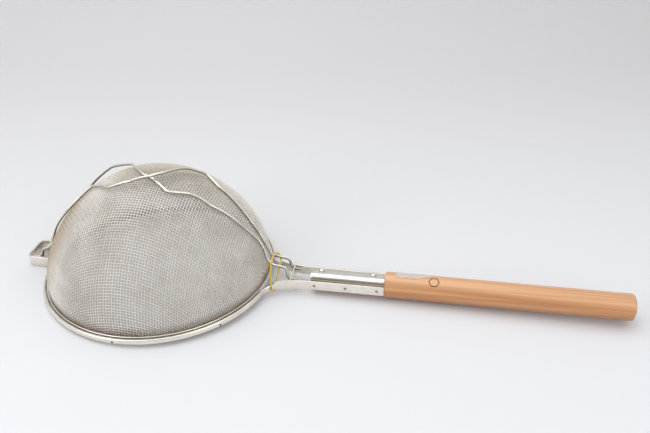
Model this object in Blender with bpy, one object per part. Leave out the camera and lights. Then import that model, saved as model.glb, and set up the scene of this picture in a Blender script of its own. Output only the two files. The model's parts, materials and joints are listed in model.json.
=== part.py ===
"""Double-mesh strainer with a wooden handle, lying on its rim with the crown up.

The strainer is laid out in its own level frame first (millimetres): +X runs from
the bowl's centre along the handle, z = 0 is the flat lower side of the rim. The
handle is thicker than the rim, so on a table the whole strainer leans on the front
lug and on the front end of the wood. One empty carries that small lean.
"""
import math

import bmesh
import bpy
from mathutils import Vector

MM = 0.001

# Rim and legs: one strip, rolled to a low round-edged band around the bowl and left
# flat and upright where its two ends run on as the legs of the handle.
RIM_RADIUS = 120.0
BAND_THICK, BAND_HEIGHT, BAND_CORNER = 2.7, 5.4, 1.1
STRIP_THICK, STRIP_HEIGHT, STRIP_CORNER = 2.0, 10.0, 0.4
LEG_START, LEG_END = 122.0, 235.5
LEG_SPREAD, LEG_HALF, LEG_DECAY = 8.7, 12.8, 14.0
RING_STEP = 5.0

# Inner ring that holds the edges of both meshes.
RING_OUTER, RING_INNER = 116.3, 114.9
RING_BOTTOM, RING_TOP = 0.3, 6.2

# Mesh bowls: an upright skirt, then a superellipse up to the crown.
BOWL_RADIUS, BOWL_HEIGHT, BOWL_POWER = 114.5, 114.3, 1.74
SKIRT_TOP, SKIRT_BOTTOM = 9.0, 0.6
COARSE_THICK, FINE_THICK, LAYER_GAP = 1.0, 0.7, 0.4

# Front lug.
LUG_FRONT, LUG_HALF, LUG_HEIGHT, LUG_BEND = 146.0, 16.5, 11.5, 7.0

# Bridge plates, each with two holes for the ends of the guard wires.
PLATE_THICK, PLATE_BOTTOM, PLATE_MARGIN = 1.6, 0.6, 2.9
NECK_PLATE_X, LUG_PLATE_X = 141.5, -133.0
HOOK_HOLE = 1.9
NECK_HOOK_Y, NECK_HOOK_Z = 9.0, 8.0
LUG_HOOK_Y, LUG_HOOK_Z = 10.5, 8.4

# Guard wires over the bowl.
WIRE_RADIUS = 1.3
WIRE_LOW, WIRE_CLEAR = 1.3, 2.0
WIRE_STEP = 9.0

# Handle: wood, its tongue between the legs, the cover over the tongue.
WOOD_RADIUS, WOOD_AXIS_Z, WOOD_END = 13.15, 5.0, 473.0
WOOD_FRONT_ROUND, WOOD_REAR_ROUND = 0.8, 3.0
TONGUE_START, TONGUE_HALF = 161.8, 10.4
TONGUE_BOTTOM, TONGUE_TOP = 0.3, 8.7
COVER_START, COVER_HALF = 161.5, 10.4
COVER_BOTTOM, COVER_TOP = 9.0, 10.0
RIDGE_Y, RIDGE_RADIUS, RIDGE_AXIS_Z = -4.5, 5.9, 9.5

# Fasteners.
GAP = 0.3
RIVET_RADIUS, RIVET_Z = 0.8, 2.0
RIVET_ANGLES = (42.5, 91.5, 140.5, 219.5, 268.5, 317.5)
NAIL_RADIUS, NAIL_LENGTH = 1.1, 8.0
NAIL_X = (165.5, 197.0, 228.5)
HEAD_RADIUS, HEAD_HEIGHT, SHANK_RADIUS, SHANK_DEPTH = 2.8, 2.1, 1.3, 6.0
HEAD_X, HEAD_Y = (170.0, 223.0), 7.0

# Rubber band: under and around the near leg, over both guard wires and back below them.
RUBBER_RADIUS, RUBBER_STEP = 0.9, 7.0
RUBBER_LOOP = ((123.4, -22.5, 7.8), (124.2, -22.2, 0.4), (124.8, -20.0, -1.6),
               (126.0, -17.4, -1.6), (126.8, -15.5, 0.2), (127.6, -14.5, 10.6),
               (129.2, -8.0, 20.2), (127.6, 7.4, 18.4), (126.4, 12.0, 19.6), (124.6, 12.6, 22.6),
               (122.8, 11.0, 25.0), (121.4, 8.0, 25.6), (121.6, -7.6, 28.6), (121.8, -11.8, 27.2))

# The lean: the lug's front lower edge and the front of the wood touch the table.
WOOD_TOUCH_X = LEG_END + GAP + WOOD_FRONT_ROUND
LEAN = math.asin((WOOD_RADIUS - WOOD_AXIS_Z) / math.hypot(WOOD_TOUCH_X + LUG_FRONT,
                                                         WOOD_RADIUS - WOOD_AXIS_Z))


def clear_scene():
    for obj in list(bpy.data.objects):
        bpy.data.objects.remove(obj, do_unlink=True)


def material(name, color, metallic, roughness):
    mat = bpy.data.materials.new(name)
    mat.use_nodes = True
    shader = mat.node_tree.nodes["Principled BSDF"]
    shader.inputs["Base Color"].default_value = (*color, 1.0)
    shader.inputs["Metallic"].default_value = metallic
    shader.inputs["Roughness"].default_value = roughness
    mat.diffuse_color = (*color, 1.0)
    return mat


def add_object(name, bm, mat, parent, pivot=(0.0, 0.0, 0.0), smooth=True):
    """Make an object from a bmesh in millimetres, with its origin at the pivot."""
    pivot = Vector(pivot)
    for vert in bm.verts:
        vert.co = (vert.co - pivot) * MM
    bmesh.ops.recalc_face_normals(bm, faces=bm.faces)
    mesh = bpy.data.meshes.new(name)
    bm.to_mesh(mesh)
    bm.free()
    if smooth:
        mesh.shade_smooth()
        mesh.set_sharp_from_angle(angle=math.radians(35))
    mesh.materials.append(mat)
    obj = bpy.data.objects.new(name, mesh)
    obj.location = pivot * MM
    obj.parent = parent
    bpy.context.collection.objects.link(obj)
    return obj


def skin(bm, rings, closed_path):
    """Join equal rings of vertices into a tube; an open tube gets flat caps."""
    count = len(rings[0])
    pairs = list(zip(rings, rings[1:]))
    if closed_path:
        pairs.append((rings[-1], rings[0]))
    for ring_a, ring_b in pairs:
        for i in range(count):
            j = (i + 1) % count
            bm.faces.new((ring_a[i], ring_a[j], ring_b[j], ring_b[i]))
    if not closed_path:
        bm.faces.new(rings[0])
        bm.faces.new(list(reversed(rings[-1])))


def rounded_rectangle(width, height, corner, steps=2):
    """Corner-rounded outline from (0, 0) to (width, height), anticlockwise."""
    centres = ((width - corner, corner, -90), (width - corner, height - corner, 0),
               (corner, height - corner, 90), (corner, corner, 180))
    points = []
    for cx, cy, start in centres:
        for k in range(steps + 1):
            angle = math.radians(start + 90 * k / steps)
            points.append((cx + corner * math.cos(angle), cy + corner * math.sin(angle)))
    return points


def side_normals(path, closed_path=False):
    """Unit vectors to the left of a plan path, at each of its points."""
    normals = []
    last = len(path) - 1
    for i, point in enumerate(path):
        before = path[i - 1] if i > 0 or closed_path else point
        after = path[(i + 1) % len(path)] if i < last or closed_path else point
        tangent = (Vector(after) - Vector(before)).normalized()
        normals.append(Vector((-tangent.y, tangent.x)))
    return normals


def strip_solid(path, sections):
    """Sweep an upright strip whose outer face follows the plan path.

    Each section is (thickness, height, corner radius); thickness goes to the left.
    """
    bm = bmesh.new()
    rings = []
    for point, normal, section in zip(path, side_normals(path), sections):
        ring = []
        for depth, height in rounded_rectangle(*section):
            place = Vector(point) + normal * depth
            ring.append(bm.verts.new((place.x, place.y, height)))
        rings.append(ring)
    skin(bm, rings, closed_path=False)
    return bm


def tube_solid(points, radius, sides=8, closed_path=False):
    """Sweep a round section along 3-D points without twist."""
    bm = bmesh.new()
    points = [Vector(p) for p in points]
    last = len(points) - 1
    rings = []
    side = None
    for i, point in enumerate(points):
        before = points[i - 1] if i > 0 or closed_path else point
        after = points[(i + 1) % len(points)] if i < last or closed_path else point
        tangent = (after - before).normalized()
        if side is None:
            side = tangent.orthogonal().normalized()
        side = (side - tangent * side.dot(tangent)).normalized()
        up = tangent.cross(side)
        ring = []
        for k in range(sides):
            angle = 2 * math.pi * k / sides
            ring.append(bm.verts.new(point + radius * (side * math.cos(angle) + up * math.sin(angle))))
        rings.append(ring)
    skin(bm, rings, closed_path)
    return bm


def turned_solid(profile, segments, centre=(0.0, 0.0, 0.0), axis="Z"):
    """Turn a profile of (radius, height) pairs; a zero radius closes on the axis."""
    bm = bmesh.new()
    centre = Vector(centre)

    def place(radius, height, angle):
        across = (radius * math.cos(angle), radius * math.sin(angle))
        if axis == "X":
            return centre + Vector((height, *across))
        if axis == "Y":
            return centre + Vector((across[0], height, across[1]))
        return centre + Vector((*across, height))

    loops = []
    for radius, height in profile:
        if radius < 1e-6:
            loops.append([bm.verts.new(place(0.0, height, 0.0))])
        else:
            loops.append([bm.verts.new(place(radius, height, 2 * math.pi * k / segments))
                          for k in range(segments)])
    closed = loops if len(loops[0]) == 1 else loops + [loops[0]]
    for loop_a, loop_b in zip(closed, closed[1:]):
        for k in range(segments):
            j = (k + 1) % segments
            if len(loop_a) == 1:
                bm.faces.new((loop_a[0], loop_b[j], loop_b[k]))
            elif len(loop_b) == 1:
                bm.faces.new((loop_a[k], loop_a[j], loop_b[0]))
            else:
                bm.faces.new((loop_a[k], loop_a[j], loop_b[j], loop_b[k]))
    return bm


def prism_solid(outline, start_x, end_x):
    """Extrude an outline of (y, z) pairs along X."""
    bm = bmesh.new()
    rings = [[bm.verts.new((x, y, z)) for y, z in outline] for x in (start_x, end_x)]
    skin(bm, rings, closed_path=False)
    return bm


def pin_solid(radius, start, end, segments=10):
    """A plain round pin between two points."""
    start, end = Vector(start), Vector(end)
    return tube_solid([start, end], radius, segments)


def merge(bm, other):
    """Copy another bmesh into this one."""
    mesh = bpy.data.meshes.new("merge_scratch")
    other.to_mesh(mesh)
    other.free()
    bm.from_mesh(mesh)
    bpy.data.meshes.remove(mesh)


def boolean(obj, name, bm, operation, parent):
    """Apply a boolean with a helper solid; the modifier stays on the object."""
    helper = add_object(name, bm, obj.data.materials[0], parent, smooth=False)
    helper.hide_render = True
    helper.display_type = "WIRE"
    modifier = obj.modifiers.new(name, "BOOLEAN")
    modifier.operation = operation
    modifier.solver = "EXACT"
    modifier.use_self = operation == "DIFFERENCE"
    modifier.object = helper


def leg_half_width(x):
    """Half the distance between the outer faces of the legs."""
    return LEG_HALF + LEG_SPREAD * math.exp(-(x - LEG_START) / LEG_DECAY)


def smooth_step(value):
    value = min(1.0, max(0.0, value))
    return value * value * (3 - 2 * value)


def strip_section(flatness):
    """Strip section between the round-edged band (0) and the flat leg (1)."""
    ring_section = (BAND_THICK, BAND_HEIGHT, BAND_CORNER)
    leg_section = (STRIP_THICK, STRIP_HEIGHT, STRIP_CORNER)
    return tuple(a + (b - a) * flatness for a, b in zip(ring_section, leg_section))


def rim_and_legs():
    """Outer face of the whole strip in plan, far leg first, and its sections."""
    leg_steps = (LEG_END, 228.5, 212.0, 197.0, 181.0, 165.5, 155.0, 147.0, 140.5, 135.0, 131.0,
                 128.0, 125.5, 123.5)
    ring_root = math.degrees(math.asin((leg_half_width(LEG_START) + 2.6) / RIM_RADIUS))
    far_leg = [(x, leg_half_width(x)) for x in leg_steps]
    far_flat = [smooth_step((x - 121.0) / 8.0) for x in leg_steps]
    bend = [(121.6, leg_half_width(LEG_START) + 0.7), (120.0, leg_half_width(LEG_START) + 2.2)]
    count = round((360 - 2 * ring_root - 4) / RING_STEP)
    angles = [ring_root + 2 + (360 - 2 * ring_root - 4) * k / count for k in range(count + 1)]
    ring = [(RIM_RADIUS * math.cos(math.radians(a)), RIM_RADIUS * math.sin(math.radians(a)))
            for a in angles]
    near = [(x, -y) for x, y in reversed(far_leg + bend)]
    path = far_leg + bend + ring + near
    flat = far_flat + [0.1, 0.0] + [0.0] * len(ring) + [0.0, 0.1] + far_flat[::-1]
    return path, [strip_section(f) for f in flat]


def bowl_point(radius, height, t):
    """Superellipse profile: t = 0 at the top of the skirt, 1 at the crown."""
    angle = t * math.pi / 2
    power = 2 / BOWL_POWER
    r = radius * max(0.0, math.cos(angle)) ** power
    z = SKIRT_TOP + (height - SKIRT_TOP) * math.sin(angle) ** power
    return r, z


def bowl_shell(inset, thickness, segments=40, steps=9):
    """Open bowl: outer profile up to the crown, inner profile back down."""
    profile = []
    for offset, order in ((inset, range(steps + 1)), (inset + thickness, range(steps, -1, -1))):
        radius, height = BOWL_RADIUS - offset, BOWL_HEIGHT - offset
        curve = [bowl_point(radius, height, k / steps) for k in order]
        curve = [(0.0 if r < 0.01 else r, z) for r, z in curve]
        if order.step == 1:
            profile += [(radius, SKIRT_BOTTOM)] + curve
        else:
            profile += curve + [(radius, SKIRT_BOTTOM)]
    bm = bmesh.new()
    crown = [i for i, (r, _) in enumerate(profile) if r == 0.0]
    loops = []
    for r, z in profile:
        if r == 0.0:
            loops.append([bm.verts.new((0.0, 0.0, z))])
        else:
            loops.append([bm.verts.new((r * math.cos(2 * math.pi * k / segments),
                                        r * math.sin(2 * math.pi * k / segments), z))
                          for k in range(segments)])
    for i, (loop_a, loop_b) in enumerate(zip(loops, loops[1:] + loops[:1])):
        if i == crown[0]:
            continue
        for k in range(segments):
            j = (k + 1) % segments
            if len(loop_a) == 1:
                bm.faces.new((loop_a[0], loop_b[j], loop_b[k]))
            elif len(loop_b) == 1:
                bm.faces.new((loop_a[k], loop_a[j], loop_b[0]))
            else:
                bm.faces.new((loop_a[k], loop_a[j], loop_b[j], loop_b[k]))
    return bm


def above_bowl(theta, y, clearance):
    """Point over the bowl, seen from (0, y, skirt top) at the angle theta above +X."""
    grow = clearance + WIRE_RADIUS
    low, high = 0.0, 200.0
    cosine, sine = math.cos(math.radians(theta)), math.sin(math.radians(theta))
    for _ in range(40):
        reach = (low + high) / 2
        flat = math.hypot(reach * cosine, y) / (BOWL_RADIUS + grow)
        rise = reach * sine / (BOWL_HEIGHT - SKIRT_TOP + grow)
        if flat ** BOWL_POWER + rise ** BOWL_POWER < 1:
            low = reach
        else:
            high = reach
    return (reach * cosine, y, SKIRT_TOP + reach * sine)


def wire_over_bowl(stations):
    """Follow the bowl between stations of (theta, y, clearance)."""
    points = []
    for (t0, y0, c0), (t1, y1, c1) in zip(stations, stations[1:]):
        span = math.hypot((t1 - t0) * math.pi / 180 * BOWL_RADIUS, y1 - y0)
        count = max(1, round(span / WIRE_STEP))
        for k in range(count):
            f = k / count
            points.append(above_bowl(t0 + (t1 - t0) * f, y0 + (y1 - y0) * f, c0 + (c1 - c0) * f))
    points.append(above_bowl(*stations[-1]))
    return points


def hook_points(plate_x, y, hook_z, top_z):
    """Wire end from the bowl outwards: over the rim, down, and out through the plate."""
    side = math.copysign(1, plate_x)
    reach = abs(plate_x)
    edge = BOWL_RADIUS + WIRE_CLEAR + WIRE_RADIUS
    span = reach - edge
    shape = ((edge + 0.22 * span, top_z + 0.8), (edge + 0.45 * span, top_z + 0.1),
             (reach - 5.6, top_z - 1.2), (reach - 4.4, top_z - 4.2), (reach - 3.6, hook_z + 3.6),
             (reach - 2.7, hook_z + 1.1), (reach - 1.5, hook_z), (reach + 5.5, hook_z))
    return [(side * x, y, z) for x, z in shape]


def guard_wire(stations, neck_y, neck_top, lug_y, lug_top):
    """Whole guard wire from its end at the neck to its end at the lug."""
    neck = hook_points(NECK_PLATE_X, neck_y, NECK_HOOK_Z, neck_top)
    lug = hook_points(LUG_PLATE_X, lug_y, LUG_HOOK_Z, lug_top)
    return tube_solid(neck[::-1] + wire_over_bowl(stations) + lug, WIRE_RADIUS)


def bridge_plate(plate_x, half_width, hook_z):
    top = hook_z + PLATE_MARGIN
    outline = [(-half_width, PLATE_BOTTOM), (half_width, PLATE_BOTTOM),
               (half_width, top), (-half_width, top)]
    return prism_solid(outline, plate_x - PLATE_THICK / 2, plate_x + PLATE_THICK / 2)


def hook_holes(plate_x, hook_y, hook_z):
    bm = bmesh.new()
    for y in (-hook_y, hook_y):
        merge(bm, pin_solid(HOOK_HOLE, (plate_x - 3, y, hook_z), (plate_x + 3, y, hook_z), 16))
    return bm


def lug_solid():
    """U of upright strip; its ends stand against the rim."""
    steps = 5
    root = math.sqrt(RIM_RADIUS ** 2 - LUG_HALF ** 2) + 2 * GAP
    corner = []
    for k in range(steps + 1):
        angle = math.radians(90 * k / steps)
        corner.append((-(LUG_FRONT - LUG_BEND) - LUG_BEND * math.sin(angle),
                       LUG_HALF - LUG_BEND + LUG_BEND * math.cos(angle)))
    far = [(-root, LUG_HALF)] + corner
    path = far + [(x, -y) for x, y in reversed(far)]
    section = (STRIP_THICK, LUG_HEIGHT, STRIP_CORNER)
    return strip_solid(path, [section] * len(path))


def radial_pins(radius, inner, outer):
    for degrees in RIVET_ANGLES:
        angle = math.radians(degrees)
        ray = Vector((math.cos(angle), math.sin(angle), 0.0))
        rise = Vector((0.0, 0.0, RIVET_Z))
        yield pin_solid(radius, ray * inner + rise, ray * outer + rise)


def joined(solids):
    bm = bmesh.new()
    for solid in solids:
        merge(bm, solid)
    return bm


def nail_pins(radius, outer, length, sides=(1, -1)):
    for x in NAIL_X:
        for side in sides:
            start = (x, side * outer(x), WOOD_AXIS_Z)
            end = (x, side * (outer(x) - length), WOOD_AXIS_Z)
            yield pin_solid(radius, start, end)


def domed_head(x):
    """Round-headed pin, standing on the cover, its shank in the tongue."""
    base = COVER_TOP + GAP
    profile = [(0.0, base + HEAD_HEIGHT)]
    for k in range(1, 4):
        angle = math.radians(30 * k)
        profile.append((HEAD_RADIUS * math.sin(angle), base + HEAD_HEIGHT * math.cos(angle)))
    profile += [(SHANK_RADIUS, base), (SHANK_RADIUS, base - SHANK_DEPTH), (0.0, base - SHANK_DEPTH)]
    return turned_solid(profile, 14, centre=(x, HEAD_Y, 0.0))


def cover_outline():
    """Pressed sheet: flat shelf with a half-round ridge along one side."""
    thick = COVER_TOP - COVER_BOTTOM
    steps = 8
    outer, inner = [], []
    for k in range(steps + 1):
        angle = math.radians(6 + 168 * k / steps)
        outer.append((RIDGE_Y + RIDGE_RADIUS * math.cos(angle),
                      RIDGE_AXIS_Z + RIDGE_RADIUS * math.sin(angle)))
        inner.append((RIDGE_Y + (RIDGE_RADIUS - thick) * math.cos(angle),
                      RIDGE_AXIS_Z + (RIDGE_RADIUS - thick) * math.sin(angle)))
    foot_far, foot_near = inner[0][0], inner[-1][0]
    lower = [(-COVER_HALF, COVER_BOTTOM), (foot_near, COVER_BOTTOM)] + inner[::-1]
    lower += [(foot_far, COVER_BOTTOM), (COVER_HALF, COVER_BOTTOM), (COVER_HALF, COVER_TOP)]
    return lower + outer


def wood_body():
    """Turned grip with rounded ends, along X."""
    start = LEG_END + GAP
    profile = [(0.0, start)]
    for k in range(3):
        angle = math.radians(45 * k)
        profile.append((WOOD_RADIUS - WOOD_FRONT_ROUND * (1 - math.sin(angle)),
                        start + WOOD_FRONT_ROUND * (1 - math.cos(angle))))
    for k in range(5):
        angle = math.radians(22.5 * k)
        profile.append((WOOD_RADIUS - WOOD_REAR_ROUND * (1 - math.cos(angle)),
                        WOOD_END - WOOD_REAR_ROUND * (1 - math.sin(angle))))
    profile.append((0.0, WOOD_END))
    return turned_solid(profile, 32, centre=(0.0, 0.0, WOOD_AXIS_Z), axis="X")


def tongue_solid():
    outline = [(-TONGUE_HALF, TONGUE_BOTTOM), (TONGUE_HALF, TONGUE_BOTTOM),
               (TONGUE_HALF, TONGUE_TOP), (-TONGUE_HALF, TONGUE_TOP)]
    return prism_solid(outline, TONGUE_START, LEG_END + 12.0)


def rubber_band_points():
    """The loop's corners with points about a step apart between them."""
    points = []
    for start, end in zip(RUBBER_LOOP, RUBBER_LOOP[1:] + RUBBER_LOOP[:1]):
        start, end = Vector(start), Vector(end)
        count = max(1, round((end - start).length / RUBBER_STEP))
        points += [start.lerp(end, k / count) for k in range(count)]
    return points


def build_frame(steel, parent):
    path, sections = rim_and_legs()
    band = add_object("rim_band_and_legs", strip_solid(path, sections), steel, parent)
    hole = RIVET_RADIUS + GAP
    rim_holes = joined(radial_pins(hole, RING_INNER - 2, RIM_RADIUS + 2))
    boolean(band, "rim_hole_cutter", rim_holes, "DIFFERENCE", parent)
    nail_holes = joined(nail_pins(NAIL_RADIUS + GAP, lambda x: leg_half_width(x) + 2, 6.0))
    boolean(band, "leg_hole_cutter", nail_holes, "DIFFERENCE", parent)

    profile = [(RING_OUTER, RING_BOTTOM), (RING_OUTER, RING_TOP - 0.3), (RING_OUTER - 0.3, RING_TOP),
               (RING_INNER + 0.3, RING_TOP), (RING_INNER, RING_TOP - 0.3), (RING_INNER, RING_BOTTOM)]
    ring = add_object("inner_clamp_ring", turned_solid(profile, 72), steel, parent)
    ring_holes = joined(radial_pins(hole, RING_INNER - 2, RIM_RADIUS + 2))
    boolean(ring, "ring_hole_cutter", ring_holes, "DIFFERENCE", parent)
    for number, pin in enumerate(radial_pins(RIVET_RADIUS, RING_INNER + 0.1, RIM_RADIUS + 0.1), 1):
        add_object(f"rim_rivet_{number}", pin, steel, parent)

    add_object("front_lug", lug_solid(), steel, parent)
    neck_half = leg_half_width(NECK_PLATE_X) - STRIP_THICK - 2 * GAP
    lug_half = LUG_HALF - STRIP_THICK - GAP
    plates = (("neck_bridge_plate", NECK_PLATE_X, neck_half, NECK_HOOK_Y, NECK_HOOK_Z),
              ("lug_bridge_plate", LUG_PLATE_X, lug_half, LUG_HOOK_Y, LUG_HOOK_Z))
    for name, plate_x, half, hook_y, hook_z in plates:
        plate = add_object(name, bridge_plate(plate_x, half, hook_z), steel, parent, smooth=False)
        holes = hook_holes(plate_x, hook_y, hook_z)
        boolean(plate, name + "_cutter", holes, "DIFFERENCE", parent)


def build_bowls(mesh_steel, parent):
    add_object("coarse_mesh_bowl", bowl_shell(0.0, COARSE_THICK), mesh_steel, parent)
    inset = COARSE_THICK + LAYER_GAP
    add_object("fine_mesh_bowl", bowl_shell(inset, FINE_THICK), mesh_steel, parent)


def build_guards(steel, parent):
    """Each wire is bent at its stations; the upper one clears the lower one."""
    low, end = WIRE_LOW, WIRE_CLEAR
    lower = [(9, -5.5, end + 2), (13.5, 0.2, end + 0.6), (18.5, 2.4, low), (25.3, -1.9, low),
             (32.1, -5.1, low), (43.6, -8.6, low), (51.4, -12.5, low), (58.2, -11.6, low),
             (63.5, -13.3, low), (70.3, -19.7, low), (73.7, -22.3, low), (76, -20.2, low),
             (86, -9.3, low), (90, -7, low), (99.3, 10.8, low), (101, 16, low + 1.7),
             (118, 26, low + 4.7), (137, 25, low + 0.7), (152, 18, low), (171, 11.5, end)]
    upper = [(6, 10.4, end + 1), (14.1, 10.8, low + 0.3), (19.5, 12.6, low), (27.6, 13, low),
             (35.3, 16.3, low), (46, 21.8, low), (51.7, 23.4, low), (56.5, 28.6, low + 0.4),
             (61.7, 34.2, low + 1.2), (70.2, 23.8, low + 3.2), (73.3, 16.3, low + 4.2),
             (79.1, -3.9, low + 5.2), (85.1, -15.2, low + 5.2), (93.8, -22.2, low + 3.7),
             (106.5, -23.2, low + 0.7), (109.6, -19, low), (124.2, -3, low), (131, -13, low),
             (140, -19, low), (152, -19, low), (162, -14.5, low), (171, -10.5, end)]
    wires = (("guard_wire_lower", lower, -NECK_HOOK_Y, 23.0, LUG_HOOK_Y, 22.0),
             ("guard_wire_upper", upper, NECK_HOOK_Y, 21.2, -LUG_HOOK_Y, 20.0))
    for name, stations, neck_y, neck_top, lug_y, lug_top in wires:
        solid = guard_wire(stations, neck_y, neck_top, lug_y, lug_top)
        add_object(name, solid, steel, parent, pivot=(NECK_PLATE_X, neck_y, NECK_HOOK_Z))


def build_handle(steel, wood, parent):
    handle = add_object("wooden_handle", wood_body(), wood, parent)
    boolean(handle, "tongue_helper", tongue_solid(), "UNION", parent)
    nail_holes = nail_pins(NAIL_RADIUS + GAP, lambda x: LEG_HALF + 1, NAIL_LENGTH + 2.0)
    shank_holes = [pin_solid(SHANK_RADIUS + GAP, (x, HEAD_Y, COVER_TOP + 2),
                             (x, HEAD_Y, COVER_TOP - SHANK_DEPTH - GAP)) for x in HEAD_X]
    boolean(handle, "tongue_hole_cutter", joined(list(nail_holes) + shank_holes), "DIFFERENCE", parent)

    cover = add_object("ferrule_cover", prism_solid(cover_outline(), COVER_START, LEG_END), steel, parent)
    cover_holes = [pin_solid(SHANK_RADIUS + GAP, (x, HEAD_Y, COVER_TOP + 2),
                             (x, HEAD_Y, COVER_BOTTOM - 2)) for x in HEAD_X]
    boolean(cover, "cover_hole_cutter", joined(cover_holes), "DIFFERENCE", parent)
    for name, x in zip(("cover_rivet_front", "cover_rivet_rear"), HEAD_X):
        add_object(name, domed_head(x), steel, parent)
    for side, word in ((-1, "near"), (1, "far")):
        nails = nail_pins(NAIL_RADIUS, lambda x: leg_half_width(x) + 0.1, NAIL_LENGTH, (side,))
        for number, nail in enumerate(nails, 1):
            add_object(f"leg_nail_{word}_{number}", nail, steel, parent)


def build_rubber_band(rubber, parent):
    solid = tube_solid(rubber_band_points(), RUBBER_RADIUS, 6, closed_path=True)
    add_object("rubber_band", solid, rubber, parent)


def main():
    clear_scene()
    steel = material("polished_steel", (0.78, 0.76, 0.73), 1.0, 0.22)
    mesh_steel = material("mesh_steel", (0.55, 0.52, 0.48), 0.9, 0.4)
    wood = material("handle_wood", (0.62, 0.36, 0.17), 0.0, 0.5)
    rubber = material("band_rubber", (0.72, 0.52, 0.12), 0.0, 0.5)

    strainer = bpy.data.objects.new("strainer", None)
    bpy.context.collection.objects.link(strainer)
    half_length = (WOOD_END + LUG_FRONT) / 2
    centre_x = (WOOD_END - LUG_FRONT) / 2
    strainer.rotation_euler = (0.0, -LEAN, 0.0)
    strainer.location = (-centre_x * math.cos(LEAN) * MM, 0.0,
                         (half_length - centre_x) * math.sin(LEAN) * MM)

    build_frame(steel, strainer)
    build_bowls(mesh_steel, strainer)
    build_guards(steel, strainer)
    build_handle(steel, wood, strainer)
    build_rubber_band(rubber, strainer)


main()
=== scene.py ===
"""Looks of the double-mesh strainer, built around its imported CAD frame.

Shapes are worked out in the strainer's own level frame, in millimetres: +X from the
bowl's centre along the handle, z = 0 on the flat lower side of the rim. The matrix LAY
places that frame in the row frame, where the strainer leans a little on a table.
"""
import json
import math

import bmesh
import bpy
import numpy as np
from mathutils import Matrix, Vector


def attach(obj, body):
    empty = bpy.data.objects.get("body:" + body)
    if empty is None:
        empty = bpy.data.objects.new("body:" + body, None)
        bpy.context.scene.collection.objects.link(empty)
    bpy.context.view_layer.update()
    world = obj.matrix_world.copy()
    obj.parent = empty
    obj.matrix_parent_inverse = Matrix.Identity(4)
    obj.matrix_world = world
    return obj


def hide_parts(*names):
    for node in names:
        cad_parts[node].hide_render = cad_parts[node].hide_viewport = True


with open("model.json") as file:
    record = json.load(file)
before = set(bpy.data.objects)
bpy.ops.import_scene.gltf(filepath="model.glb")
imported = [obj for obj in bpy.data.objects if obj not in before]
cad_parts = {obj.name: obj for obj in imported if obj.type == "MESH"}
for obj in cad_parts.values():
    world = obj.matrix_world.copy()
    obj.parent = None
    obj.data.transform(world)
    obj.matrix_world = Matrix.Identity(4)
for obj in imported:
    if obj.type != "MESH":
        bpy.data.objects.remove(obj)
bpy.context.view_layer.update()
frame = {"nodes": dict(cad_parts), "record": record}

MM = 0.001
POINT_RADIUS = 0.004

# ---------------------------------------------------------------- the CAD's frame
MOUNTS = {mount["name"]: mount for mount in frame["record"]["mounts"]}


def lay_matrix():
    """Strainer frame in millimetres to row frame in metres, from two of its mounts."""
    x_axis = Vector(MOUNTS["handle_end_face"]["axis"]).normalized()
    z_axis = -Vector(MOUNTS["rim_rest_face"]["axis"]).normalized()
    y_axis = z_axis.cross(x_axis)
    origin = Vector(MOUNTS["rim_rest_face"]["pos_m"])
    origin.y = 0.0
    columns = [[*(x_axis * MM), 0], [*(y_axis * MM), 0], [*(z_axis * MM), 0], [*origin, 1]]
    return Matrix(columns).transposed()


LAY = lay_matrix()
UNLAY = np.array(LAY.inverted())


def coordinates(mesh):
    """A mesh's points, one to a row."""
    values = np.empty(len(mesh.vertices) * 3)
    mesh.vertices.foreach_get("co", values)
    return values.reshape(-1, 3)


def reach(node):
    """Lowest and highest corner of a CAD node in the strainer's own frame."""
    own = coordinates(frame["nodes"][node].data) @ UNLAY[:3, :3].T + UNLAY[:3, 3]
    return Vector(own.min(axis=0)), Vector(own.max(axis=0))


# Rim, legs and ring.
BAND_THICK, BAND_HEIGHT, BAND_CORNER = 2.7, 5.4, 1.1
STRIP_THICK, STRIP_HEIGHT, STRIP_CORNER = 2.0, 10.0, 0.4
RIM_RADIUS = MOUNTS["rim_rest_face"]["pos_m"][1] / MM + BAND_THICK / 2
LEG_START, LEG_SPREAD, LEG_HALF, LEG_DECAY = 122.0, 8.7, 12.8, 14.0
LEG_END = reach("rim_band_and_legs")[1].x
RING_BOX = reach("inner_clamp_ring")
RING_OUTER, RING_BOTTOM, RING_TOP = RING_BOX[1].y, RING_BOX[0].z, RING_BOX[1].z
RING_THICK, RING_CORNER = 1.4, 0.45

# Bowls: an upright skirt, then a superellipse up to the crown.
BOWL_BOX = reach("coarse_mesh_bowl")
BOWL_RADIUS, BOWL_HEIGHT, BOWL_POWER = BOWL_BOX[1].x, BOWL_BOX[1].z, 1.74
SKIRT_TOP, SKIRT_BOTTOM = 9.0, BOWL_BOX[0].z
COARSE_PITCH, COARSE_WIRE, COARSE_INSET = 2.8, 0.82, 0.6
FINE_PITCH, FINE_WIRE, FINE_INSET = 1.75, 0.38, 2.0

# Lug and bridge plates.
LUG_BOX = reach("front_lug")
LUG_BEND = 7.0
PLATE_NODES = ("neck_bridge_plate", "lug_bridge_plate")
HOOK_HOLE = 1.9
NECK_HOOK_Y, NECK_HOOK_Z = 9.0, 8.0
LUG_HOOK_Y, LUG_HOOK_Z = 10.5, 8.4

# Guard wires.
WIRE_RADIUS, WIRE_LOW, WIRE_CLEAR = 1.3, 1.3, 2.0

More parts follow.
